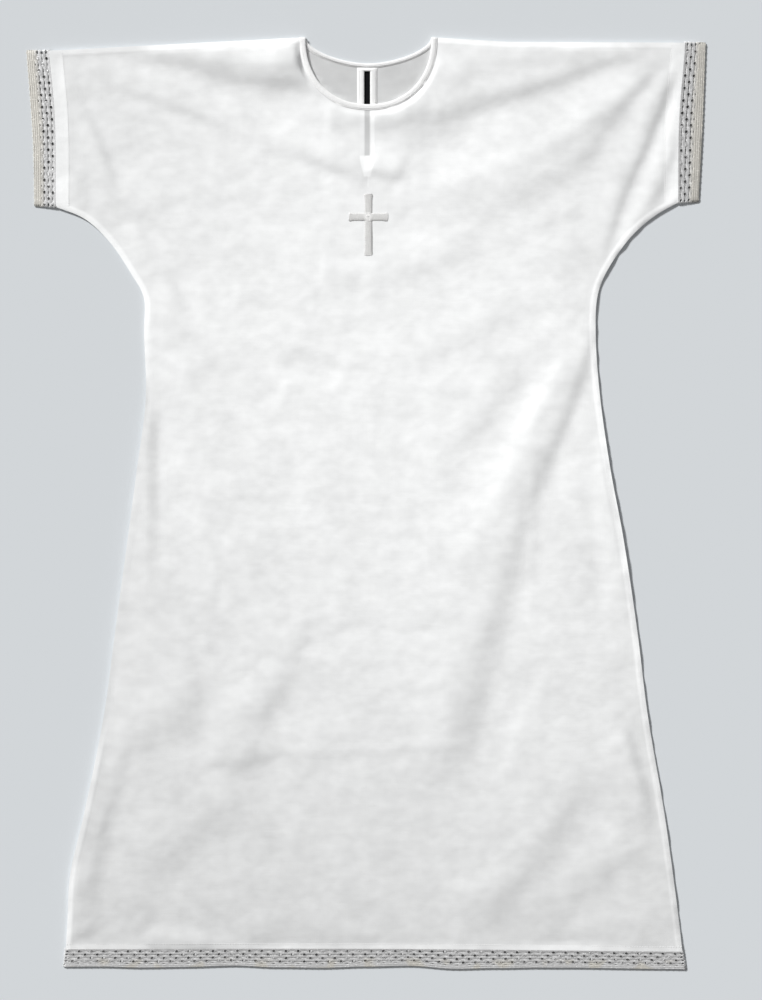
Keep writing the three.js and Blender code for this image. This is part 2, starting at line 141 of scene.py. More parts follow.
# Soft creases: path, width of the slope at its start and end, and how many percent lighter or
# darker than the flat cloth that slope looks there, with the light from the upper left.
CREASES = [
    # Left yoke and sleeve
    ([(-282, 526), (-236, 524), (-207, 518), (-178, 509), (-142, 500), (-95, 496), (-31, 496)], (8, 16),
     (-12, -38)),
    ([(-200, 524), (-154, 517), (-107, 516), (-25, 517)], (7, 8), (-8, -16)),
    ([(-315, 507), (-284, 489), (-254, 477), (-213, 463), (-172, 446), (-139, 416), (-113, 378)], (5, 7),
     (-9, -10)),
    ([(-360, 521), (-344, 496), (-329, 467), (-316, 439), (-306, 411), (-296, 385), (-285, 352)], (5, 5),
     (-9, -13)),
    ([(-275, 343), (-259, 314), (-245, 293), (-231, 272), (-219, 241), (-205, 201)], (7, 9), (-7, -13)),
    ([(-341, 390), (-332, 369), (-320, 347)], (6, 6), (-6, -6)),
    ([(-235, 178), (-219, 194), (-202, 213)], (9, 9), (-6, -6)),
    ([(-214, 143), (-195, 160), (-174, 180)], (11, 11), (-7, -7)),
    # Round the slit and the cross
    ([(-122, 432), (-95, 418), (-72, 409), (-48, 400), (-25, 390), (2, 376)], (6, 7), (-5, -18)),
    ([(-2, 394), (21, 387), (45, 380)], (7, 7), (-16, -14)),
    ([(-47, 446), (-25, 449), (2, 444)], (8, 8), (-9, -10)),
    ([(82, 467), (54, 456), (26, 446), (-16, 441)], (9, 9), (-15, -15)),
    ([(127, 446), (78, 430), (26, 420)], (11, 11), (-6, -9)),
    ([(-169, 359), (-142, 359), (-115, 357)], (5, 5), (-6, -6)),
    ([(-158, 233), (-122, 239), (-87, 239)], (7, 7), (-6, -6)),
    ([(-61, 263), (-31, 260), (5, 272)], (11, 11), (-6, -6)),
    ([(-101, 189), (-72, 178), (-42, 169), (-13, 161), (21, 164)], (6, 7), (-6, -9)),
    ([(-101, 157), (-66, 147), (-19, 139)], (9, 9), (7, 6)),
    # Right yoke, breast and sleeve
    ([(344, 536), (305, 527), (275, 517), (246, 506), (216, 494), (181, 484), (134, 470), (87, 454),
     (45, 444), (0, 444)], (6, 15), (-17, -21)),
    ([(289, 533), (240, 527), (193, 520), (134, 509), (52, 498)], (9, 15), (-10, -15)),
    ([(353, 526), (329, 503), (301, 485), (278, 472), (249, 454), (220, 437), (185, 417), (148, 398),
     (99, 383), (22, 364)], (7, 13), (3, 10)),
    ([(365, 543), (347, 521), (332, 503), (316, 485), (301, 467), (285, 445), (267, 421), (245, 399),
     (216, 380), (178, 364), (128, 350), (52, 326)], (5, 19), (-16, -14)),
    ([(356, 524), (344, 500), (332, 472), (320, 444), (309, 418), (296, 385)], (5, 7), (7, 8)),
    ([(373, 526), (362, 505), (355, 485), (348, 466), (341, 450), (334, 432), (326, 413), (316, 392),
     (307, 371), (299, 350), (292, 326), (282, 298), (272, 258)], (4, 5), (-30, -17)),
    ([(376, 503), (364, 467), (348, 423), (329, 373), (311, 333), (292, 298)], (6, 7), (13, 12)),
    ([(366, 427), (359, 404), (352, 385), (344, 367), (329, 343)], (4, 5), (-18, -15)),
    ([(282, 357), (228, 333), (181, 314), (146, 300), (111, 290), (75, 279), (40, 269), (-19, 256)],
     (9, 11), (-3, -9)),
    ([(139, 333), (105, 321), (64, 305)], (6, 6), (5, 5)),
    ([(162, 213), (122, 192), (93, 179), (49, 166)], (7, 7), (-5, -5)),
    # From the right armpit down the skirt
    ([(191, 159), (169, 133), (153, 112), (136, 91), (118, 70), (96, 49), (64, 20)], (9, 12), (-4, -5)),
    ([(158, 169), (134, 136), (113, 110), (85, 81)], (9, 11), (5, 5)),
    ([(240, 187), (224, 164), (208, 138), (191, 105), (174, 70), (160, 39), (145, 6), (127, -29),
     (106, -64), (75, -107)], (6, 18), (10, 11)),
    ([(272, 216), (265, 189), (258, 164), (249, 139), (241, 114), (232, 91), (222, 70), (212, 46),
     (195, 6)], (6, 11), (-20, -18)),
    ([(228, 89), (209, 47), (198, 18), (187, -17), (176, -53), (167, -86), (158, -121), (148, -154),
     (139, -189), (129, -229), (118, -264), (102, -302), (73, -354)], (11, 21), (-13, -16)),
    ([(278, 107), (275, 53), (275, 6), (279, -53), (284, -111), (292, -182)], (11, 13), (9, 7)),
    ([(214, -170), (204, -206), (191, -234), (176, -262), (165, -293), (156, -335)], (7, 9), (7, 8)),
    # Left flank
    ([(-212, -111), (-206, -170), (-199, -229), (-193, -288)], (16, 22), (-5, -9)),
    # Skirt and hem
    ([(-42, -111), (-71, -147), (-85, -182), (-98, -217), (-115, -243), (-129, -276), (-132, -311),
     (-127, -347), (-134, -387)], (9, 18), (-8, -12)),
    ([(-94, -290), (-122, -301), (-153, -306), (-181, -304), (-214, -297)], (7, 8), (-10, -9)),
    ([(-188, -147), (-174, -187), (-153, -217), (-122, -231)], (8, 13), (-3, -9)),
    ([(-19, -142), (-52, -154), (-87, -161)], (6, 7), (-8, -8)),
    ([(-273, -264), (-287, -314), (-301, -359), (-313, -406), (-320, -453), (-315, -507)], (9, 15),
     (-9, -17)),
    ([(-134, -351), (-188, -380), (-224, -406), (-266, -448)], (16, 19), (-8, -10)),
    ([(-266, -500), (-219, -504), (-162, -507)], (8, 8), (10, 9)),
    ([(-355, -515), (-336, -507), (-313, -499)], (6, 5), (-20, -14)),
    ([(-169, -509), (-78, -510), (16, -509), (99, -510)], (6, 6), (-7, -7)),
    ([(193, -510), (252, -508), (322, -511)], (6, 6), (-7, -7)),
    ([(266, -314), (245, -349), (224, -384), (202, -420), (179, -448), (158, -474), (129, -511)], (18, 16),
     (-9, -15)),
    ([(332, -401), (282, -436), (238, -476), (200, -516)], (14, 16), (-7, -9)),
    ([(167, -422), (122, -446), (75, -455)], (11, 12), (5, 5)),
    ([(304, -255), (318, -302), (332, -347), (344, -389)], (6, 6), (-11, -11)),
]

# The back's soft creases, which show from below.
BACK_CREASES = [
    ([(-256, 196), (-226, 130), (-176, 58), (-108, -14)], (9, 16), (10, 10)),
    ([(262, 204), (238, 120), (204, 28), (176, -84)], (9, 17), (-12, -10)),
    ([(222, 176), (168, 110), (96, 60)], (8, 12), (-7, -8)),
    ([(-338, 478), (-258, 446), (-168, 398)], (8, 12), (-9, -8)),
    ([(340, 486), (262, 446), (176, 404)], (8, 12), (10, 8)),
    ([(-118, -176), (-146, -284), (-158, -420)], (14, 18), (9, 10)),
    ([(-236, -210), (-262, -320), (-268, -430)], (12, 15), (-9, -9)),
    ([(148, -246), (190, -356), (214, -470)], (14, 18), (-10, -10)),
    ([(-60, 150), (20, 128), (96, 140)], (9, 9), (6, 6)),
]

# Fold lines near the left edge: the cloth stays up on the seam as far as the line, and drops
# past it. A path down the line, and the width and depth of the drop.
FLAPS = [
    ([(-256, 150), (-258, 106), (-259, 60), (-259, 6), (-259, -60), (-254, -115), (-246, -175),
      (-238, -230)], 19, 2.1),
    ([(-316, -265), (-310, -320), (-311, -360), (-320, -390), (-334, -420), (-340, -455)], 11, 1.3),
]

# Pressed lines: two ends and a lift.
PRESSED = [
    ((-150, -290), (150, -282), 0.45),
    ((-130, -144), (120, -150), -0.30),
    ((-180, 4), (60, 0), -0.25),
    ((193, -170), (197, 60), 0.30),
    ((-172, -130), (-168, -20), -0.30),
    ((8, 60), (6, 176), 0.15),
    ((205, -146), (285, -150), 0.35),
]

# Camera, straight above, in metres.
CAMERA_HEIGHT = 6.0
VIEW_SPAN = 1.1765  # what the longer side of the picture spans
VIEW_CENTRE = (0.0176, 0.0062)

# Tones and light.
LINEN_TONE = 0.651  # before the mottle and the threads are added
LACE_TONE = 0.60
FLOOR = (0.805, 0.839, 0.866)
BACKDROP = (0.637, 0.672, 0.694)
FILL = 0.22
KEY = 3.99
WASH = 219
LIGHT_FROM = (-0.668, 0.745)  # where the key light comes from, in plan
RELIEF = 1.00  # change of brightness for each unit of slope towards it

# ---- Small helpers ---------------------------------------------------------------------------


def smooth(low, high, value):
    t = np.clip((np.asarray(value, float) - low) / (high - low), 0, 1)
    return t * t * (3 - 2 * t)


def mix(a, b, t):
    return a + (b - a) * t


def curve(points, count):
    """count + 1 points, evenly spaced, of a centripetal Catmull-Rom curve through the points."""
    p = np.array(points, float)
    p = np.vstack([2 * p[0] - p[1], p, 2 * p[-1] - p[-2]])
    fine = []
    for i in range(len(p) - 3):
        a, b, c, d = p[i : i + 4]
        t0 = 0.0
        t1 = t0 + np.linalg.norm(b - a) ** 0.5
        t2 = t1 + np.linalg.norm(c - b) ** 0.5
        t3 = t2 + np.linalg.norm(d - c) ** 0.5
        t = np.linspace(t1, t2, 40, endpoint=i == len(p) - 4)[:, None]
        ab, bc = mix(a, b, (t - t0) / (t1 - t0)), mix(b, c, (t - t1) / (t2 - t1))
        cd = mix(c, d, (t - t2) / (t3 - t2))
        abc, bcd = mix(ab, bc, (t - t0) / (t2 - t0)), mix(bc, cd, (t - t1) / (t3 - t1))
        fine.append(mix(abc, bcd, (t - t1) / (t2 - t1)))
    return respaced(np.vstack(fine), count)


def respaced(chain, count):
    """count + 1 points evenly spaced along a chain of points."""
    chain = np.array(chain, float)
    run = np.concatenate([[0], np.cumsum(np.linalg.norm(np.diff(chain, axis=0), axis=1))])
    at = np.linspace(0, run[-1], count + 1)
    return np.stack([np.interp(at, run, chain[:, k]) for k in range(chain.shape[1])], axis=1)


def nearest(chain, x, y):
    """Distance from each point to a chain, how far along it the nearest place is, and the side."""
    best = np.full(np.shape(x), 1e9)
    along, side = np.zeros(np.shape(x)), np.zeros(np.shape(x))
    for i in range(len(chain) - 1):
        (ax, ay), (dx, dy) = chain[i], chain[i + 1] - chain[i]
        share = np.clip(((x - ax) * dx + (y - ay) * dy) / (dx * dx + dy * dy), 0, 1)
        px, py = x - ax - share * dx, y - ay - share * dy
        distance = np.hypot(px, py)
        near = distance < best
        best = np.where(near, distance, best)
        along = np.where(near, (i + share) / (len(chain) - 1), along)
        side = np.where(near, np.sign(dx * py - dy * px), side)
    return best, along, side


def noise(x, y, size, seed):
    """Smooth noise from -1 to 1, with features of about the given size."""
    lattice = np.random.default_rng(seed).uniform(-1, 1, (128, 128))
    u, v = np.asarray(x) / size + 64, np.asarray(y) / size + 64
    i, j = np.floor(u).astype(int), np.floor(v).astype(int)
    fu, fv = smooth(0, 1, u - i), smooth(0, 1, v - j)
    pick = lambda a, b: lattice[a % 128, b % 128]
    low = mix(pick(i, j), pick(i + 1, j), fu)
    return mix(low, mix(pick(i, j + 1), pick(i + 1, j + 1), fu), fv)


def streaks(x, y, angle, length, width, seed):
    """Noise drawn out along a direction, in degrees from +X."""
    c, s = math.cos(math.radians(angle)), math.sin(math.radians(angle))
    u, v = x * c + y * s, -x * s + y * c
    return noise(u / length * width, v, width, seed)


# ---- Outline ---------------------------------------------------------------------------------


def neckline(side, offset, count):
    """The neckline from the left neck point to the right, moved out by offset."""
    drop, power = NECK[side]["drop"], NECK[side]["power"]
    turn = np.linspace(0, math.pi, 721)
    reach = lambda value: np.sign(value) * np.abs(value) ** (2 / power)
    chain = np.stack(
        [NECK_X - NECK_HALF_WIDTH * reach(np.cos(turn)), SHOULDER_Y - drop * reach(np.sin(turn))], axis=1
    )
    even = respaced(chain, count)
    run = np.gradient(even, axis=0)
    normal = np.stack([run[:, 1], -run[:, 0]], axis=1)
    normal[0], normal[-1] = (-1, 0), (1, 0)
    normal /= np.linalg.norm(normal, axis=1)[:, None]
    return even + normal * offset


STEPS = 200
side_left, side_right = curve(LEFT_SIDE, STEPS), curve(RIGHT_SIDE, STEPS)
cuff_left, cuff_right = (curve(LACES[name]["sewn"], 40) for name in ("cuff_lace_left", "cuff_lace_right"))
hem_line = curve(LACES["hem_lace"]["sewn"], 60)
neck_front = neckline("front", 0, 60)
sewn_seams = [side_left, np.array(LEFT_SHOULDER, float), side_right, np.array(RIGHT_SHOULDER, float)]
seam_chains = [*sewn_seams, cuff_left, cuff_right]
slit_line = np.array([(SLIT["x"], SLIT["top"]), (SLIT["x"], SLIT["tip"] - 20)], float)


# ---- Heights of the two layers ---------------------------------------------------------------


def fold_lift(folds, x, y):
    """What the folds add: soft bells across their paths, with low shoulders, fading at both ends."""
    total = np.zeros(np.shape(x))
    for path, start, end, lift, shoulder in folds:
        distance, along, _ = nearest(curve(path, 24), x, y)
        half = mix(start, end, along)
        ends = smooth(0, 0.15, along) * smooth(0, 0.3, 1 - along)
        bell = np.where(distance < half, (1 + np.cos(math.pi * np.minimum(distance / half, 1))) / 2, 0)
        rim = np.exp(-(((distance - 1.2 * half) / (0.45 * half)) ** 2))
        total += lift * (bell - shoulder * rim) * ends
    return total


def seam_distance(x, y, chains=seam_chains):
    return np.min([nearest(chain, x, y)[0] for chain in chains], axis=0)


def soft_clamp(value, low, high):
    raised = low + (value - low + np.hypot(value - low, 0.25)) / 2
    return high - (high - raised + np.hypot(high - raised, 0.25)) / 2


def off_slit(x, y):
    return np.minimum(smooth(60, 150, np.abs(x - NECK_X)) + smooth(0, 60, 340 - y), 1)


def back_height(x, y, share=1.0):
    """Height of the back layer's underside: the solid model's, or with a share of its folds."""
    lift = np.minimum(fold_lift(BACK_FOLDS, x, y), MOST_BACK_LIFT) * share
    return lift * off_slit(x, y) * smooth(8, 40, seam_distance(x, y))


def front_height(x, y, share=1.0):
    """Height of the front layer's underside: the solid model's, or with a share of its folds."""
    seam = seam_distance(x, y)
    quiet = smooth(36, 72, np.hypot(x - CROSS["x"], y - CROSS["y"]))
    folds = fold_lift(FRONT_FOLDS, x, y) * quiet * share
    hem_fade = mix(0.35, 1, smooth(0, 70, y - HEM_Y))
    free = soft_clamp((LOFT * smooth(0, 55, seam) + folds * smooth(0, 22, seam)) * hem_fade, 0, MOST_GAP)
    neck_edge = NECK_LOFT * (1 - smooth(14, 50, nearest(neck_front, x, y)[0]))
    over_slit = SLIT_LOFT * (1 - smooth(40, 80, nearest(slit_line, x, y)[0]))
    return back_height(x, y, share) + CLOTH + SEAM_GAP + np.maximum(free, np.maximum(neck_edge, over_slit))


def drawn_share(x, y):
    """The solid model's folds are drawn lower in the open cloth, where the soft creases lie over them."""
    near = np.minimum(nearest(neck_front, x, y)[0], seam_distance(x, y, [cuff_left, cuff_right]))
    return mix(1, 0.25, smooth(7, 26, near) * smooth(0, 30, y - HEM_Y))


def seam_height(x, y):
    """Height at which the layers meet: the left seam stands up below the armpit, the right one puckers."""
    left = 1.2 * smooth(-500, -420, y) + 0.8 * smooth(-240, -130, y)
    left *= smooth(-150, -200, x) * smooth(175, 100, y)
    puckers = 0.75 * noise(x + y, x - y, 16, 14) - 0.3 + 1.1 * smooth(-150, -60, y) * smooth(130, 60, y)
    right = smooth(150, 220, x) * smooth(385, 345, y) * puckers
    return SEAM_EDGE + left + right + 0.9 * smooth(480, 520, y)


def flap(x, y):
    """How far the cloth is held up by the left seam, from 0 to 1, and the dip beside that."""
    share, dip = np.zeros(np.shape(x)), np.zeros(np.shape(x))
    for path, width, depth in FLAPS:
        distance, along, side = nearest(curve(path, 24), x, y)
        past, ends = distance * side, smooth(0, 0.2, along) * smooth(0, 0.3, 1 - along)
        share = np.maximum(share, smooth(width, 0, past) * ends)
        dip += depth * smooth(0, width, past) * np.exp(-((past / (2.6 * width)) ** 2)) * ends
    return share, dip


def crumple(x, y):
    """Slight unevenness of linen that has been ironed, folded and carried."""
    chest, right = smooth(-60, 260, y), smooth(-60, 120, x)
    value = 0.34 * chest * right * streaks(x, y, 27, 130, 27, 4)
    for lift, size, seed in ((0.55, 95, 1), (0.50, 46, 2), (0.16, 22, 3), (0.05, 12, 9)):
        value += lift * noise(x, y, size, seed)
    value += 0.22 * chest * (1 - right) * streaks(x, y, -24, 120, 28, 5)
    value += 0.26 * (1 - chest) * right * streaks(x, y, 70, 200, 38, 6)
    value += 0.18 * (1 - chest) * (1 - right) * streaks(x, y, -66, 190, 42, 7)
    return value


def creases(table, x, y):
    """Relief of the soft creases: each is a slope towards the light or away from it."""
    total = np.zeros(np.shape(x))
    for path, widths, tones in table:
        chain = curve(path, 28)
        distance, along, side = nearest(chain, x, y)
        run = chain[-1] - chain[0]
        facing = (run[0] * LIGHT_FROM[1] - run[1] * LIGHT_FROM[0]) / np.hypot(*run)
        facing = math.copysign(max(abs(facing), 0.45), facing)
        width, tone = mix(*widths, along), mix(*tones, along) / 100
        across = distance * side / width
        ends = smooth(0, 0.17, along) * smooth(0, 0.32, 1 - along)
        rise = tone * width / (RELIEF * facing)
        total += (0.25 * abs(rise) - rise * np.tanh(across)) * np.exp(-((across / 3.6) ** 2)) * ends
    return total


def pressed(x, y):
    """The shallow lines left where the shirt was folded for its package."""
    total = np.zeros(np.shape(x))
    for start, end, lift in PRESSED:
        distance, along, _ = nearest(np.array([start, end], float), x, y)
        total += lift * np.exp(-((distance / 6) ** 2)) * smooth(0, 0.2, along) * smooth(0, 0.2, 1 - along)
    return total


def front_surface(x, y):
    """Height of the middle of the front cloth as it is drawn."""
    edge = seam_distance(x, y, sewn_seams)
    neck, cuff = nearest(neck_front, x, y)[0], seam_distance(x, y, [cuff_left, cuff_right])
    free = front_height(x, y, drawn_share(x, y)) + CLOTH - FABRIC / 2
    by_cross = smooth(26, 60, np.hypot(x - CROSS["x"], y - CROSS["y"]))
    held, dip = flap(x, y)
    calm = smooth(7.5, 14, neck) * smooth(1, 9, cuff) * smooth(0.5, 9, edge) * smooth(0, 6, y - HEM_Y)
    detail = creases(CREASES, x, y) * mix(0.35, 1, by_cross) + (crumple(x, y) + pressed(x, y)) * by_cross
    detail *= calm * (1 - held)
    rise = np.sqrt(np.maximum(1 - (1 - np.clip(edge / 4.5, 0, 1)) ** 2, 0))
    low = seam_height(x, y) + FABRIC / 2
    height = low + (free - low) * rise * (1 - held) + detail - dip * rise
    least = back_surface(x, y) + FABRIC + 0.1
    return np.where(edge > 3, least + (height - least + np.hypot(height - least, 0.5)) / 2, height)


def back_surface(x, y):
    """Height of the middle of the back cloth as it is drawn."""
    edge = seam_distance(x, y, sewn_seams)
    free = back_height(x, y, drawn_share(x, y)) + 0.45
    free += 0.10 * (1 + noise(x, y, 60, 8)) * smooth(10, 60, edge)
    raised = np.maximum(creases(BACK_CREASES, x, y), 0) * off_slit(x, y)
    free += MOST_BACK_CREASE * np.tanh(raised * smooth(8, 40, seam_distance(x, y)) / MOST_BACK_CREASE)
    return mix(seam_height(x, y) - FABRIC / 2, free, smooth(0, 14, edge))


# ---- Shader writing --------------------------------------------------------------------------


class Value:
    """A shader value: sums and products of it write their own nodes."""

    def __init__(self, look, socket):
        self.look, self.socket = look, socket

    def __add__(self, other):
        return self.look.math("ADD", self, other)

    def __mul__(self, other):
        return self.look.math("MULTIPLY", self, other)

    def __sub__(self, other):
        return self.look.math("SUBTRACT", self, other)

    __radd__, __rmul__ = __add__, __mul__


class Look:
    """Writes one material's nodes. What its methods take is a number, a socket or a Value."""

    def __init__(self, name, roughness=0.8, metallic=0.0, sheen=0.0, specular=0.5):
        self.material = bpy.data.materials.new(name)
        self.material.use_nodes = True
        self.nodes, self.links = self.material.node_tree.nodes, self.material.node_tree.links
        self.shader = self.nodes["Principled BSDF"]
        for key, value in {
            "Roughness": roughness, "Metallic": metallic, "Sheen Weight": sheen,
            "Sheen Roughness": 0.4, "Specular IOR Level": specular,
        }.items():
            self.shader.inputs[key].default_value = value
        self.place = self.node("TexCoord").outputs["Object"]
        parts = self.node("SeparateXYZ", self.place).outputs
        self.x, self.y = (self.math("MULTIPLY", parts[k], 1000) for k in (0, 1))

    def put(self, socket, value):
        value = getattr(value, "socket", value)
        if hasattr(value, "is_output"):
            self.links.new(value, socket)
        else:
            socket.default_value = value

    def node(self, kind, *values, **settings):
        """A new node with the given settings and first inputs."""
        node = self.nodes.new("ShaderNode" + kind)
        for key, value in settings.items():
            setattr(node, key, value)
        for socket, value in zip(node.inputs, values):
            self.put(socket, value)
        return node

    def math(self, operation, *values):
        return Value(self, self.node("Math", *values, operation=operation).outputs[0])

    def ramp(self, value, low, high, start=0.0, end=1.0):
        """start up to low, end from high, smooth in between."""
        node = self.node("MapRange", value, low, high, start, end, interpolation_type="SMOOTHSTEP")
        return Value(self, node.outputs[0])

    def between(self, value, low, high, soft):
        return self.ramp(value, low - soft, low + soft) * self.ramp(value, high - soft, high + soft, 1, 0)

    def attribute(self, name):
        return Value(self, self.node("Attribute", attribute_name=name).outputs["Fac"])

    def grain(self, size_x, size_y, detail=2.0):
        """Noise from 0 to 1 whose spots are size_x by size_y millimetres."""
        mapping = self.node("Mapping", self.place)
        mapping.inputs["Scale"].default_value = (1000 / size_x, 1000 / size_y, 30)
        mapping.inputs["Location"].default_value = (size_x * 1.7, size_y * 2.3, 0)
        node = self.node("TexNoise", mapping.outputs[0])
        node.inputs["Scale"].default_value = 1
        node.inputs["Detail"].default_value = detail
        return Value(self, node.outputs[0])

    def colour(self, tone, tint=(1, 1, 1)):
        node = self.node("CombineColor", *(tone if share == 1 else tone * share for share in tint))
        self.put(self.shader.inputs["Base Color"], node.outputs[0])

    def bump(self, height, distance):
        node = self.node("Bump")
        node.inputs["Strength"].default_value = 1
        node.inputs["Distance"].default_value = distance * MM
        self.put(node.inputs["Height"], height)
        self.put(self.shader.inputs["Normal"], node.outputs[0])


def weave(look, pitch):
    """Heights of a plain weave's threads, over and under each other, and of its thick places."""
    across, along = (look.math("SINE", place * (math.pi / pitch)) for place in (look.x, look.y))
    return across * along * 0.5 + 0.5, look.grain(28, 0.9) + look.grain(0.9, 32)


def linen(name, marked):
    """Fine white linen. marked gives the tone with a panel's own marks, from the look and the tone."""
    look = Look(name, roughness=0.86, sheen=0.12, specular=0.25)
    over, slubs = weave(look, 0.5)
    mottle = look.grain(18, 14, 1)
    tone = LINEN_TONE + slubs * 0.018 + mottle * 0.15 + look.grain(46, 34, 2) * 0.15 + over * 0.010
    # The left side seam lies a little under the front's edge, so less of its doubled cloth shows.
    low_left = look.ramp(look.x, -200, -150, 1, 0) * look.between(look.y, -270, 215, 30)
    seams = look.ramp(look.attribute("seam_mm"), SEAM_ALLOWANCE - 3, SEAM_ALLOWANCE + 1, 1, 0)
    cuffs = look.ramp(look.attribute("cuff_mm"), CUFF_HEM - 1, CUFF_HEM + 1, 1, 0)
    hem = look.ramp(look.attribute("hem_mm"), HEM_ALLOWANCE - 1, HEM_ALLOWANCE + 1, 0.6, 0)
    layers = look.math("MAXIMUM", seams * (low_left * -1 + 1), look.math("MAXIMUM", cuffs, hem))
    look.colour(marked(look, tone) * (layers * 0.16 + 1), (0.992, 1, 1))
    look.bump(over * 0.06 + slubs * 0.08 + mottle * 0.4 + layers * 0.2, 0.9)
    return look.material


def with_slit(look, tone):
    """The back's slit shows through: a grey gap, the white doubled edges and the white tack."""
    off, half = look.math("ABSOLUTE", look.x - SLIT["x"]), SLIT["gap"] / 2
    strip = half + SLIT["binding"]
    gap = look.ramp(off, half - 1.6, half + 1.0, 1, 0) * look.between(look.y, SLIT["gap_bottom"], 600, 1.2)
    side = look.ramp(look.x, SLIT["x"] - 1, SLIT["x"] + 1, 0.25, 1)
    strips = look.between(off, half + 0.3, strip - 2.2, 0.9) * look.ramp(look.y, 404, 409) * side
    taper = look.ramp(look.y, SLIT["tip"] - 4, SLIT["shoulder"] + 3, 0.35, 0.82)
    tack = look.ramp(off - taper * strip, -1.2, 1.2, 1, 0)
    tack *= look.between(look.y, SLIT["tip"] - 1, SLIT["gap_bottom"], 1.2)
    thread = look.ramp(look.math("ABSOLUTE", look.x - 2.6), 0.6, 1.6, 1, 0)
    thread *= look.between(look.y, 374, 388, 2)
    grey = look.ramp(look.y, 420, 460, -0.27, -0.34)
    return tone * (gap * grey + strips * 0.12 + tack * 0.16 + thread * 0.06 + 1)


def with_lone_layer(look, tone):
    """One layer alone, seen through the neckline, looks greyer than two."""
    return tone * (look.attribute("lone") * -0.26 + 1)


def binding_linen():
    look = Look("linen_binding", roughness=0.8, sheen=0.15, specular=0.3)
    over, slubs = weave(look, 0.42)
    look.colour(0.82 + slubs * 0.02 + look.grain(5, 4, 2) * 0.03, (1, 1, 0.995))
    look.bump(over * 0.10 + look.grain(3.5, 3.5, 2) * 0.5, 0.7)
    return look.material


def lace_thread():
    look = Look("silver_lace", roughness=0.5, metallic=0.2, specular=0.5)
    along, around = look.node("SeparateXYZ", look.node("UVMap").outputs[0]).outputs[:2]
    twist = look.math("SINE", Value(look, along) * 9.0 + Value(look, around) * 6.3) * 0.5 + 0.5
    # Painted glints: spots of the thread painted lighter, standing for the metal's highlights; they raise
    # the bump a little too.
    painted_glint = look.ramp(look.grain(2.4, 2.4, 1), 0.60, 0.68)
    tone = LACE_TONE + twist * 0.05 + painted_glint * 0.22 + look.grain(9, 9, 2) * 0.20
    # The free edge is warmer in tone all along the cuffs and in places at the hem; the cuffs' outermost cord
    # is darker in places.
    across, cuffs = look.attribute("across"), look.ramp(look.y, -500, 0)
    patchy = look.ramp(look.grain(26, 26, 1), 0.52, 0.64)
    warm = look.ramp(across, 0.45, 0.70) * look.math("MAXIMUM", cuffs, patchy) * 0.13
    rim = look.ramp(across, 0.94, 0.955) * cuffs * look.ramp(look.grain(60, 60, 1), 0.42, 0.56)
    look.colour(tone * (rim * -0.34 + 1), (1, warm * -0.25 + 1, warm * -0.85 + 1))
    look.bump(twist + painted_glint * 0.5, 0.12)
    return look.material


def embroidery_thread(name, tone, tint, roughness):
    look = Look(name, roughness=roughness, sheen=0.3, specular=0.6)
    shade = tone + look.grain(1.1, 1.1, 1) * 0.08 + look.grain(5, 5, 2) * 0.10
    look.colour(shade + look.attribute("across") * 0.14, tint)
    look.bump(look.grain(0.5, 0.5, 2), 0.06)
    return look.material


# ---- Meshes ----------------------------------------------------------------------------------


def add_object(name, points, faces, material, attributes=None, uv=None):
    """A piece of the shirt, from points in millimetres and faces."""
    mesh = bpy.data.meshes.new(name)
    mesh.from_pydata((np.asarray(points, float) * MM).tolist(), [], faces)
    mesh.update()
    mesh.shade_smooth()
    for key, values in (attributes or {}).items():
        mesh.attributes.new(key, "FLOAT", "POINT").data.foreach_set("value", np.asarray(values, np.float32))
    if uv is not None:
        corners = np.zeros(len(mesh.loops), np.int32)
        mesh.loops.foreach_get("vertex_index", corners)
        layer = mesh.uv_layers.new(name="thread")
        layer.data.foreach_set("uv", np.asarray(uv, np.float32)[corners].ravel())
    mesh.materials.append(material)
    piece = bpy.data.objects.new(name, mesh)
    bpy.context.scene.collection.objects.link(piece)
    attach(piece, "root")
    return piece


def grid_faces(rows, columns, closed_rows=False, closed_columns=False):
    """Quads over a grid of rows by columns points."""
    r = np.arange(rows if closed_rows else rows - 1)[:, None]
    c = np.arange(columns if closed_columns else columns - 1)[None]
    low, high, over = r * columns, (r + 1) % rows * columns, (c + 1) % columns
    return np.stack([low + c, low + over, high + over, high + c], -1).reshape(-1, 4)


def panel_grid(side, body_rows, sleeve_rows, shoulder_columns, neck_columns):
    """A panel's points in plan, row by row from the hem to the shoulders and the neckline."""
    columns = 2 * shoulder_columns + neck_columns
    u = np.linspace(0, 1, columns + 1)[:, None]
    left, right = curve(LEFT_SIDE, body_rows), curve(RIGHT_SIDE, body_rows)
    hem = curve(LACES["hem_lace"]["sewn"], columns)
    bow = hem - mix(hem[0], hem[-1], u)
    rows = [mix(left[r], right[r], u) + bow * (1 - r / body_rows) ** 3 for r in range(body_rows + 1)]
    top = np.vstack([
        respaced(LEFT_SHOULDER, shoulder_columns)[:-1],
        neckline(side, NECK[side]["binding"] + SEAM_GAP, neck_columns),
        respaced(RIGHT_SHOULDER, shoulder_columns)[1:],
    ])
    cuffs = [curve(LACES[name]["sewn"], sleeve_rows) for name in ("cuff_lace_left", "cuff_lace_right")]
    low = rows[-1]
    for r in range(1, sleeve_rows + 1):
        straight = mix(low, top, r / sleeve_rows)
        rows.append(straight + (cuffs[0][r] - straight[0]) * (1 - u) + (cuffs[1][r] - straight[-1]) * u)
    rows[-1] = top
    return np.array(rows)


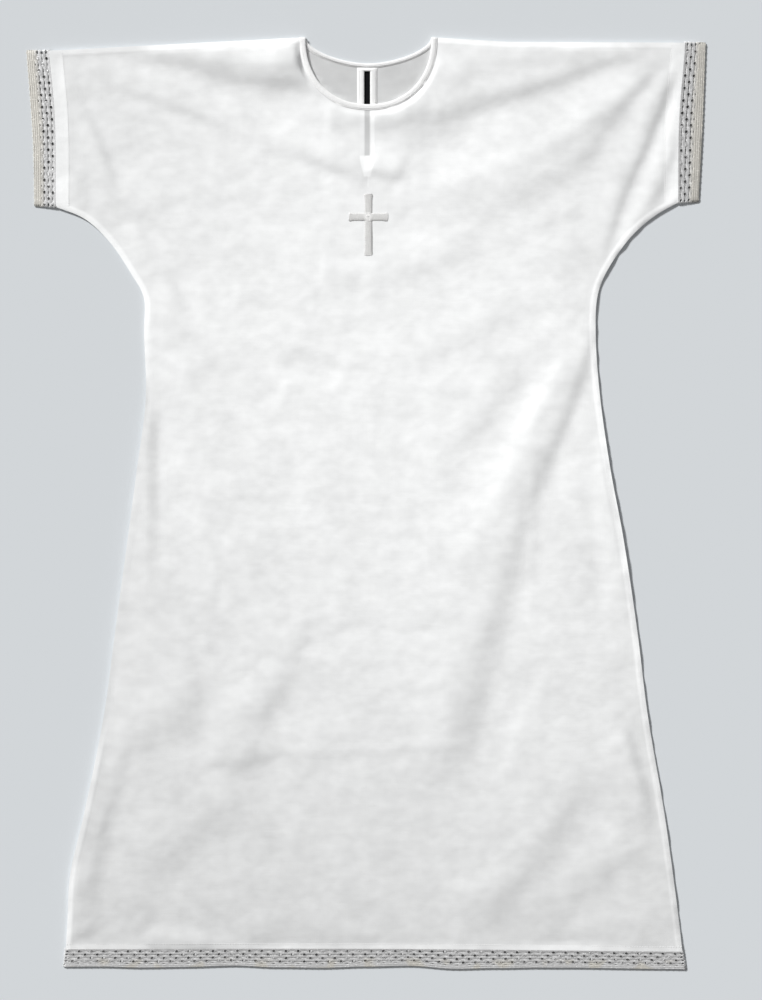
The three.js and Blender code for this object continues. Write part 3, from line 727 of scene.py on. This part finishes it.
def panel(name, side, surface, material, density):
    """One panel of the shirt as a sheet, with the distances that its material reads."""
    grid = panel_grid(side, *density)
    x, y = grid[..., 0].ravel(), grid[..., 1].ravel()
    reads = {
        "seam_mm": seam_distance(x, y, sewn_seams),
        "cuff_mm": np.minimum(nearest(cuff_left, x, y)[0], nearest(cuff_right, x, y)[0]),
        "hem_mm": nearest(hem_line, x, y)[0],
        "lone": smooth(-2.5, 2.5, inside_neck(x, y)),
    }
    points = np.stack([x, y, surface(x, y)], axis=1)
    piece = add_object(name, points, grid_faces(*grid.shape[:2]).tolist(), material, reads)
    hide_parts(name)
    return piece


def inside_neck(x, y):
    """How far inside the front's neck opening each point is, in millimetres; negative outside it."""
    distance, _, side = nearest(neck_front, x, y)
    return distance * side


def cut_out(piece, outline):
    """Cuts a convex outline out of an open sheet."""
    low, high = outline.min(0) - 14, outline.max(0) + 14
    bm = bmesh.new()
    bm.from_mesh(piece.data)
    pairs = list(zip(outline, np.roll(outline, -1, axis=0)))
    for a, b in pairs:
        middles = [(face, face.calc_center_median() / MM) for face in bm.faces]
        near = [face for face, at in middles if all(low[k] < at[k] < high[k] for k in (0, 1))]
        parts = set(near) | {e for f in near for e in f.edges} | {v for f in near for v in f.verts}
        start, normal = Vector((a[0], a[1], 0)) * MM, Vector((b[1] - a[1], a[0] - b[0], 0)).normalized()
        bmesh.ops.bisect_plane(bm, geom=list(parts), dist=1e-7, plane_co=start, plane_no=normal)
    centre = outline.mean(0)

    def within(face):
        x, y = (value / MM for value in face.calc_center_median()[:2])
        for a, b in pairs:
            turn = lambda px, py: (b[0] - a[0]) * (py - a[1]) - (b[1] - a[1]) * (px - a[0])
            if turn(x, y) * turn(*centre) < 0:
                return False
        return True

    bmesh.ops.delete(bm, geom=[f for f in bm.faces if within(f)], context="FACES")
    bm.to_mesh(piece.data)
    bm.free()


def thicken(piece, thickness):
    """Gives a sheet its thickness, with a crisp rim."""
    uses = np.zeros(len(piece.data.edges), np.int32)
    corners = np.zeros(len(piece.data.loops), np.int32)
    piece.data.loops.foreach_get("edge_index", corners)
    np.add.at(uses, corners, 1)
    sharp = piece.data.attributes.new("sharp_edge", "BOOLEAN", "EDGE")
    sharp.data.foreach_set("value", uses == 1)
    modifier = piece.modifiers.new("thickness", "SOLIDIFY")
    modifier.thickness = thickness * MM
    modifier.offset = 0


def face_outward(piece, fill=False):
    """Turns a solid piece's faces outward, once its open ends are filled."""
    bm = bmesh.new()
    bm.from_mesh(piece.data)
    if fill:
        bmesh.ops.holes_fill(bm, edges=[e for e in bm.edges if e.is_boundary], sides=0)
    bmesh.ops.recalc_face_normals(bm, faces=bm.faces)
    bm.to_mesh(piece.data)
    bm.free()


def tape(name, outer, inner, underside, material, lap, closed=False):
    """A bias binding between two edges: a rounded strip whose outer edge laps over the cloth."""
    across = outer - inner
    width = np.linalg.norm(across, axis=1)
    outward = across / width[:, None]
    section = [
        (0.94, 0.03), (0.5, 0.0), (0.12, 0.04), (0.01, 0.25), (0.0, 0.58), (0.07, 0.84), (0.22, 0.97),
        (0.5, 1.0), (0.74, mix(lap, 1, 0.78)), (0.92, mix(lap, 1, 0.34)), (1.0, lap + 0.08),
        (1.05, lap + 0.05), (1.05, lap), (0.97, lap - 0.04), (0.95, 0.3),
    ]
    run = np.concatenate([[0], np.cumsum(np.linalg.norm(np.diff((outer + inner) / 2, axis=0), axis=1))])
    rows, level = [], np.ones(len(run))
    for k, (out, up) in enumerate(section):
        uneven = 0.06 * noise(run, 40 * k * level, 5, 11) + 0.03 * noise(run, 9 * level, 22, 12)
        waver = 0.25 * noise(run, 3 * level, 16, 13) if out >= 1 else 0
        at = inner + outward * (width * min(out, 1.0) + max(out - 1.0, 0) * 22 + waver)[:, None]
        rows.append(np.column_stack([at, underside + BINDING * up * (1 + uneven * (up > 0.5))]))
    points = np.array(rows).transpose(1, 0, 2)
    count, k = len(inner), len(section)
    faces = grid_faces(count, k, closed_rows=closed, closed_columns=True).tolist()
    piece = add_object(name, points.reshape(-1, 3), faces, material)
    face_outward(piece, fill=not closed)
    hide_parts(name)
    return piece


class Threads:
    """Collects thick flat threads, each swept along its own centre line, for one mesh."""

    SECTION = np.array([(-0.5, 0.35), (-0.3, 0.92), (0.3, 0.92), (0.5, 0.35), (0.3, 0.0), (-0.3, 0.0)])

    def __init__(self):
        self.points, self.faces, self.uv, self.across, self.count = [], [], [], [], 0

    def sweep(self, centre, up, width, height, across=None, closed=False):
        """centre is (threads, points, 3) and up fits it; width and height are numbers or one per point."""
        threads, steps = centre.shape[:2]
        up = np.broadcast_to(up, centre.shape)
        if closed:
            run = np.roll(centre, -1, axis=1) - np.roll(centre, 1, axis=1)
        else:
            run = np.gradient(centre, axis=1)
        run /= np.maximum(np.linalg.norm(run, axis=2, keepdims=True), 1e-9)
        side = np.cross(run, up)
        side /= np.maximum(np.linalg.norm(side, axis=2, keepdims=True), 1e-9)
        width = np.broadcast_to(width, (steps,))[None, :, None, None]
        height = np.broadcast_to(height, (steps,))[None, :, None, None]
        ring = (
            centre[:, :, None, :]
            + side[:, :, None, :] * self.SECTION[None, None, :, :1] * width
            + up[:, :, None, :] * self.SECTION[None, None, :, 1:] * height
        )
        sides = len(self.SECTION)
        one = grid_faces(steps, sides, closed_rows=closed, closed_columns=True)
        shift = self.count + np.arange(threads)[:, None, None] * steps * sides
        faces = (one[None] + shift).reshape(-1, 4).tolist()
        if not closed:
            for t in range(threads):
                first = self.count + t * steps * sides
                last = first + (steps - 1) * sides
                faces.append([first + k for k in range(sides)][::-1])
                faces.append([last + k for k in range(sides)])
        steps_run = np.linalg.norm(np.diff(centre, axis=1), axis=2)
        length = np.concatenate([np.zeros((threads, 1)), np.cumsum(steps_run, axis=1)], axis=1)
        self.points.append(ring.reshape(-1, 3))
        self.faces += faces
        v = np.broadcast_to(np.arange(sides) / sides, (threads, steps, sides))
        self.uv.append(np.stack([np.broadcast_to(length[:, :, None], v.shape), v], -1).reshape(-1, 2))
        share = np.zeros((threads, steps)) if across is None else np.broadcast_to(across, (threads, steps))
        self.across.append(np.repeat(share.reshape(-1), sides))
        self.count += threads * steps * sides

    def make(self, name, material):
        reads = {"across": np.concatenate(self.across)}
        points, uv = np.vstack(self.points), np.vstack(self.uv)
        piece = add_object(name, points, self.faces, material, reads, uv)
        face_outward(piece)
        return piece


# ---- Lace ------------------------------------------------------------------------------------


def lace(name, material):
    """A flattened ring of openwork lace: clothwork bands round staggered eyelets, and cords."""
    sewn, free = curve(LACES[name]["sewn"], 240), curve(LACES[name]["free"], 240)
    length = np.linalg.norm(np.diff((sewn + free) / 2, axis=0), axis=1).sum()
    hem, depth = name == "hem_lace", np.linalg.norm(free - sewn, axis=1).mean()
    if hem:  # its free edge wavers
        free = mix(sewn, free, (0.92 + 0.08 * noise(free[:, 0], free[:, 0] * 0, 52, 31))[:, None])
    base = front_height(sewn[:, 0], sewn[:, 1])
    turn = 3.4
    total = 2 * (length + turn)
    repeats = round(total / LACE_REPEAT)
    step = total / repeats
    share = np.linspace(0, 1, 241)

    def place(s, v, h):
        """Point of the ring at s along it, v across it and h off its middle, in millimetres."""
        s = s % total
        sections = [s < length, s < length + turn, s < 2 * length + turn]
        t = np.select(sections, [s / length, np.ones_like(s), 1 - (s - length - turn) / length], 0.0)
        swings = [np.zeros_like(s), (s - length) / turn, np.ones_like(s)]
        swing = np.select(sections, swings, 1 - (s - 2 * length - turn) / turn)
        end = np.select(sections, [np.zeros_like(s), np.ones_like(s), np.zeros_like(s)], -1.0)
        at = lambda chain, t: np.stack([np.interp(t, share, chain[:, k]) for k in (0, 1)], -1)
        ahead = at(sewn, np.clip(t + 0.01, 0, 1)) - at(sewn, np.clip(t - 0.01, 0, 1))
        ahead /= np.linalg.norm(ahead, axis=-1, keepdims=True)
        low = 0.5
        high = mix(np.interp(t, share, base) + 0.62, 0.9, 0.95 * np.clip(v, 0, 1))
        middle, half = (high + low) / 2, (high - low) / 2
        angle = swing * math.pi
        out = 0.9 * np.sin(angle) * end
        z = middle + (half + h) * np.cos(angle)
        plan = mix(at(sewn, t), at(free, t), v[..., None])
        plan += ahead * (out + h * np.sin(angle) * end)[..., None]
        return np.concatenate([plan, z[..., None]], -1)

    threads = Threads()

    def run(u, v, width, height, lift=0.0, closed=False, whole=False, only=None):
        """Lays one line of the pattern, given in repeats along and shares across, at all repeats or some."""
        u, v = np.asarray(u, float), np.asarray(v, float)
        at = np.arange(repeats) if only is None else np.flatnonzero(only)
        if whole:
            s = ((at[:, None] + u[None]) * step - turn / 2).reshape(1, -1)
            v, width = np.tile(v, repeats)[None], np.tile(np.broadcast_to(width, u.shape), repeats)
            closed = True
        else:
            s = (at[:, None] + u[None]) * step - turn / 2
            v = np.broadcast_to(v, s.shape)
        # Round the folded ends the pattern runs straight, so that its threads lie flat on the fold.
        clear = smooth(1, 5, length / 2 - abs(s % (length + turn) - length / 2))
        if whole:
            v = mix(v.mean(), v, clear)
        from_end = np.minimum(s % total, (2 * length + turn - s) % total)
        at_v = v + 0.012 * noise(from_end, v * 40, 7, 21) * clear * (v < 0.93) * (v > 0.05)
        lift = np.broadcast_to(lift, s.shape)
        centre = place(s, at_v, lift)
        up = place(s, at_v, lift + 0.1) - centre
        up /= np.linalg.norm(up, axis=-1, keepdims=True)
        threads.sweep(centre, up, width, height, v, closed)

    rows = (0.13, 0.31, 0.49, 0.67) if hem else (0.13, 0.32, 0.51)
    gap = rows[1] - rows[0]
    # Bands that part round the eyelets, and close between them.
    wave = np.arange(10) / 10
    for k in range(len(rows) + 1):
        phase = 2 * math.pi * (wave - 0.25 - 0.5 * (k + 1))
        width = gap * depth * (0.50 + 0.66 * np.sin(phase) ** 2)
        run(wave, rows[0] + (k - 0.5) * gap + 0.033 * np.cos(phase), width, 0.4, 0.05 * (k % 2), whole=True)
    # A ring round each eyelet; some are filled, or half filled, but none where the lace is folded.
    off_middle = lambda s: abs(s % (length + turn) - length / 2)
    flat = lambda u: off_middle((np.arange(repeats) + u) * step - turn / 2) < length / 2 - 3
    ring, chance = np.arange(8) * math.pi / 4, np.random.default_rng(len(name))
    for row, v in enumerate(rows):
        u = 0.25 + 0.5 * (row % 2)
        run(u + 0.155 * np.cos(ring), v + 2.0 / depth * np.sin(ring), 0.8, 0.35, 0.2, closed=True)
        for shift, share_filled in ((0.0, 0.16), (-0.11, 0.14), (0.11, 0.14)):
            only = (chance.random(repeats) < share_filled) & flat(u + shift)
            around, across = u + shift + 0.05 * np.cos(ring), v + 0.03 * np.sin(ring)
            run(around, across, 2.2, 0.38, 0.02, closed=True, only=only)
    # Cords along the sewn edge and the plain free edge.
    cord = np.arange(4) / 4
    plain = ((0.865, 2.5), (0.95, 1.9)) if hem else ((0.70, 3.3), (0.79, 3.3), (0.875, 3.3), (0.955, 1.6))
    for v, width in ((0.025, 1.7), *plain):
        run(cord, np.full(4, v), width, 0.45, 0.12, whole=True)
    picot = np.linspace(0, math.pi, 5)
    for u in (0.25, 0.75):
        run(u - 0.1 * np.cos(picot), 0.965 + 0.03 * np.sin(picot), 0.6, 0.35, 0.1)
    piece = threads.make(name, material)
    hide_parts(name)
    return piece


# ---- Embroidery and stitches -----------------------------------------------------------------


def cross(material):
    """The Latin cross in satin stitch: close threads across each arm, over a padding."""
    x0, y0 = CROSS["x"], CROSS["y"]
    z0 = front_height(np.array([x0]), np.array([y0]))[0] + CLOTH - 0.1
    threads = Threads()
    arms = [(0, CROSS["up"]), (0, -CROSS["down"]), (CROSS["side"], 0), (-CROSS["side"], 0)]
    arc = np.linspace(-1, 1, 7)
    for k, end in enumerate(arms):
        reach = math.hypot(*end)
        dx, dy = end[0] / reach, end[1] / reach
        for i, d in enumerate(np.arange(3.2, reach, 0.72)):
            flare = smooth(reach - CROSS["flare"], reach, d)
            half = mix(CROSS["bar"], CROSS["end"], flare) / 2 - (0.9 if d > reach - 0.8 else 0)
            half += 0.22 * math.sin(i * 2.4 + k)
            lean = 0.25 * math.sin(i * 1.7)
            across = arc * half
            along = d + lean * arc
            x, y = x0 + dx * along - dy * across, y0 + dy * along + dx * across
            z = z0 + 0.12 + 0.34 * (1 - arc**2) ** 0.7 + 0.05 * math.sin(i * 3.1)
            threads.sweep(np.stack([x, y, z], -1)[None], UP, 0.74, 0.30)
    for i, r in enumerate((5.6, 4.6, 3.6, 2.5, 1.4)):
        angle = np.arange(20) * math.pi / 10
        diamond = r / (np.abs(np.cos(angle)) + np.abs(np.sin(angle))) ** 0.55
        x, y = x0 + diamond * np.cos(angle), y0 + diamond * np.sin(angle)
        centre = np.stack([x, y, np.full(20, z0 + 0.45 + 0.05 * i)], -1)[None]
        threads.sweep(centre, UP, 1.0, 0.35, across=np.full(20, 1.0 if i > 1 else 0.0), closed=True)
    piece = threads.make("chest_cross", material)
    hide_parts("chest_cross")
    return piece


def stitches(name, rows, material):
    """Rows of short machine stitches. A row is its line, its height function and its pitch."""
    threads = Threads()
    for line, height, pitch, down in rows:
        length = np.linalg.norm(np.diff(line, axis=0), axis=1).sum()
        count = max(2, round(length / pitch))
        marks = respaced(line, count * 8)[np.arange(count)[:, None] * 8 + np.array([1, 3, 5, 7])]
        way = -1.0 if down else 1.0
        z = height(marks[..., 0], marks[..., 1]) + way * np.array([-0.22, 0.0, 0.0, -0.22])
        centre = np.concatenate([marks, z[..., None]], axis=2)
        threads.sweep(centre, way * UP, np.array([0.3, 0.5, 0.5, 0.3]), 0.26)
    return threads.make(name, material)


def inset(chain, distance):
    """The chain moved sideways, to the left of its run."""
    chain = np.array(chain, float)
    run = np.gradient(chain, axis=0)
    normal = np.stack([-run[:, 1], run[:, 0]], axis=1)
    return chain + distance * normal / np.linalg.norm(normal, axis=1)[:, None]


# ---- The shirt -------------------------------------------------------------------------------

gap_half = SLIT["gap"] / 2
slit_half = gap_half + SLIT["binding"]
slit_outer = np.array([
    (-slit_half, SLIT["top"]), (-slit_half, SLIT["shoulder"]), (-SLIT["tip_width"] / 2, SLIT["tip"]),
    (SLIT["tip_width"] / 2, SLIT["tip"]), (slit_half, SLIT["shoulder"]), (slit_half, SLIT["top"]),
]) + (SLIT["x"], 0)
slit_inner = np.array([
    (-gap_half, SLIT["gap_top"]), (-gap_half, SLIT["gap_bottom"]), (-1.2, SLIT["gap_bottom"] - 0.4),
    (1.2, SLIT["gap_bottom"] - 0.4), (gap_half, SLIT["gap_bottom"]), (gap_half, SLIT["gap_top"]),
]) + (SLIT["x"], 0)

binding = binding_linen()
silver = lace_thread()
white_thread = embroidery_thread("white_thread", 0.81, (1, 1, 1), 0.6)
silver_thread = embroidery_thread("silver_thread", 0.61, (1, 0.995, 0.98), 0.45)

front = panel("front_panel", "front", front_surface, linen("linen_front", with_slit), (212, 46, 70, 46))
back = panel("back_panel", "back", back_surface, linen("linen_back", with_lone_layer), (120, 24, 36, 30))
cut_out(back, slit_outer + [(-0.3, 8), (-0.3, 0), (-0.2, -0.3), (0.2, -0.3), (0.3, 0), (0.3, 8)])
thicken(front, FABRIC)
thicken(back, FABRIC)

bindings = []
for side in ("front", "back"):
    inner, outer = neckline(side, 0, 110), neckline(side, NECK[side]["binding"], 110)
    under = front_height(outer[:, 0], outer[:, 1]) if side == "front" else np.zeros(len(outer))
    lap = 0.68 if side == "front" else 0.42
    bindings.append(tape("neck_binding_" + side, outer, inner, under, binding, lap))


def slit_ring():
    """Matching points round the slit's gap and round its binding."""
    inner, outer = [], []
    counts = (70, 14, 6, 14, 70, 12)
    for k, count in enumerate(counts):
        a, b = slit_inner[k], slit_inner[(k + 1) % 6]
        c, d = slit_outer[k], slit_outer[(k + 1) % 6]
        for t in np.arange(count) / count:
            inner.append(mix(a, b, t))
            outer.append(mix(c, d, t))
    return np.array(outer), np.array(inner)


outer, inner = slit_ring()
bindings.append(tape("slit_binding", outer, inner, np.zeros(len(outer)), binding, 0.42, closed=True))

laces = [lace(name, silver) for name in LACES]
emblem = cross(silver_thread)

top_of_front = lambda x, y: front_surface(x, y) + FABRIC / 2 + 0.02
under_back = lambda x, y: back_surface(x, y) - FABRIC / 2 - 0.02
on_tape = lambda x, y: np.full(np.shape(x), TAPE_TOP)
front_rows = [
    (inset(cuff_left, -CUFF_HEM), top_of_front, 3.0, False),
    (inset(cuff_right, CUFF_HEM), top_of_front, 3.0, False),
    (inset(hem_line, HEM_ALLOWANCE), top_of_front, 3.0, False),
    (neckline("front", 4.7, 120), lambda x, y: front_height(x, y) + TAPE_TOP, 2.6, False),
    (neckline("back", 3.4, 120), on_tape, 2.6, False),
]
for way in (-1, 1):
    x, taper_x = SLIT["x"] + way * (slit_half - 1.3), SLIT["x"] + way * (slit_half - 3)
    taper = [(taper_x, SLIT["shoulder"] - 3), (SLIT["x"] + way * 2.6, SLIT["tip"] + 3)]
    front_rows.append(([(x, SLIT["top"] - 2), (x, SLIT["shoulder"] - 2)], on_tape, 2.6, False))
    front_rows.append((taper, on_tape, 2.4, False))
for y in (403.5, 400.5):
    front_rows.append(([(SLIT["x"] - 7, y), (SLIT["x"] + 7, y)], on_tape, 2.3, False))
seams = stitches("topstitching", front_rows, white_thread)
back_rows = [
    (inset(cuff_left, -CUFF_HEM), under_back, 3.0, True),
    (inset(cuff_right, CUFF_HEM), under_back, 3.0, True),
    (inset(hem_line, HEM_ALLOWANCE), under_back, 3.0, True),
]
back_seams = stitches("topstitching_back", back_rows, white_thread)


def plan_area(side):
    """Area of a panel laid flat, in square metres."""
    grid = panel_grid(side, 60, 12, 12, 12)
    rim = np.vstack([grid[0], grid[1:, -1], grid[-1, ::-1], grid[::-1, 0]])
    x, y = rim[:, 0], rim[:, 1]
    return abs(np.dot(x, np.roll(y, -1)) - np.dot(y, np.roll(x, -1))) / 2e6


plan_area("back")
plan_area("front")

# ---- Stage -----------------------------------------------------------------------------------


def plate(name, corners, z, material):
    mesh = bpy.data.meshes.new(name)
    mesh.from_pydata([(x * MM, y * MM, z * MM) for x, y in corners], [], [list(range(len(corners)))])
    mesh.materials.append(material)
    piece = bpy.data.objects.new(name, mesh)
    bpy.context.scene.collection.objects.link(piece)


def matt(name, red, green, blue):
    look = Look(name, roughness=1.0, specular=0.0)
    look.shader.inputs["Base Color"].default_value = (red, green, blue, 1)
    return look.material


def around(x, half_x, low, high):
    return [(x - half_x, low), (x + half_x, low), (x + half_x, high), (x - half_x, high)]


plate("stage_floor", around(0, 9000, -9000, 9000), -0.3, matt("stage_floor", *FLOOR))
plate("stage_dark_slit", around(SLIT["x"], 7, 406, 513), -0.12, matt("stage_dark", 0.012, 0.012, 0.013))
# Grey cards under the laces' inner parts, seen only through the eyelets: painted shade, darkening the
# eyelets as the lace's layers shade each other.
for name in LACES:
    grey, reach = (0.07, 0.76) if name == "hem_lace" else (0.22, 0.66)
    sewn, free = curve(LACES[name]["sewn"], 12), curve(LACES[name]["free"], 12)
    corners = np.vstack([mix(sewn, free, -0.2), mix(sewn, free, reach)[::-1]])
    middle = corners.mean(0)
    corners = middle + (corners - middle) * (1 - 2.5 / np.abs(corners - middle).max())
    plate("stage_under_" + name, corners.tolist(), -0.15, matt("stage_eyelet_shade", grey, grey, grey))

# ---- Light and camera ------------------------------------------------------------------------


def light(name, kind, energy, place, target):
    lamp = bpy.data.objects.new(name, bpy.data.lights.new(name, kind))
    lamp.data.energy = energy
    lamp.location = place
    lamp.rotation_euler = (Vector(target) - Vector(place)).to_track_quat("-Z", "Y").to_euler()
    scene.collection.objects.link(lamp)
    return lamp


scene = bpy.context.scene
scene.view_settings.view_transform = "Standard"

world = bpy.data.worlds.new("studio")
world.use_nodes = True
tree = world.node_tree
fill = tree.nodes["Background"]
fill.inputs["Color"].default_value = (1, 1, 1, 1)
fill.inputs["Strength"].default_value = FILL
seen = tree.nodes.new("ShaderNodeBackground")
seen.inputs["Color"].default_value = (*BACKDROP, 1)
path = tree.nodes.new("ShaderNodeLightPath")
blend = tree.nodes.new("ShaderNodeMixShader")
tree.links.new(path.outputs["Is Camera Ray"], blend.inputs[0])
tree.links.new(fill.outputs[0], blend.inputs[1])
tree.links.new(seen.outputs[0], blend.inputs[2])
tree.links.new(blend.outputs[0], tree.nodes["World Output"].inputs["Surface"])
scene.world = world

key = light("key", "SUN", KEY, (-1.30, 1.45, 1.0), (0, 0, 0))
key.data.angle = math.radians(9)

# A soft spot on the shirt without its laces, and not on the floor.
wash = light("wash", "SPOT", WASH, (-1.26, 1.61, 3.48), (0.075, 0.155, 0))
wash.data.spot_size = math.radians(19.2)
wash.data.spot_blend = 1
wash.data.shadow_soft_size = 0.3
lit = bpy.data.collections.new("shirt")
for piece in (front, back, *bindings, emblem, seams, back_seams):
    lit.objects.link(piece)
wash.light_linking.receiver_collection = lit

camera = bpy.data.objects.new("camera", bpy.data.cameras.new("camera"))
camera.data.sensor_width = 36
camera.data.lens = camera.data.sensor_width * CAMERA_HEIGHT / VIEW_SPAN
camera.location = (*VIEW_CENTRE, CAMERA_HEIGHT)
camera.data.clip_end = 100
scene.collection.objects.link(camera)
scene.camera = camera
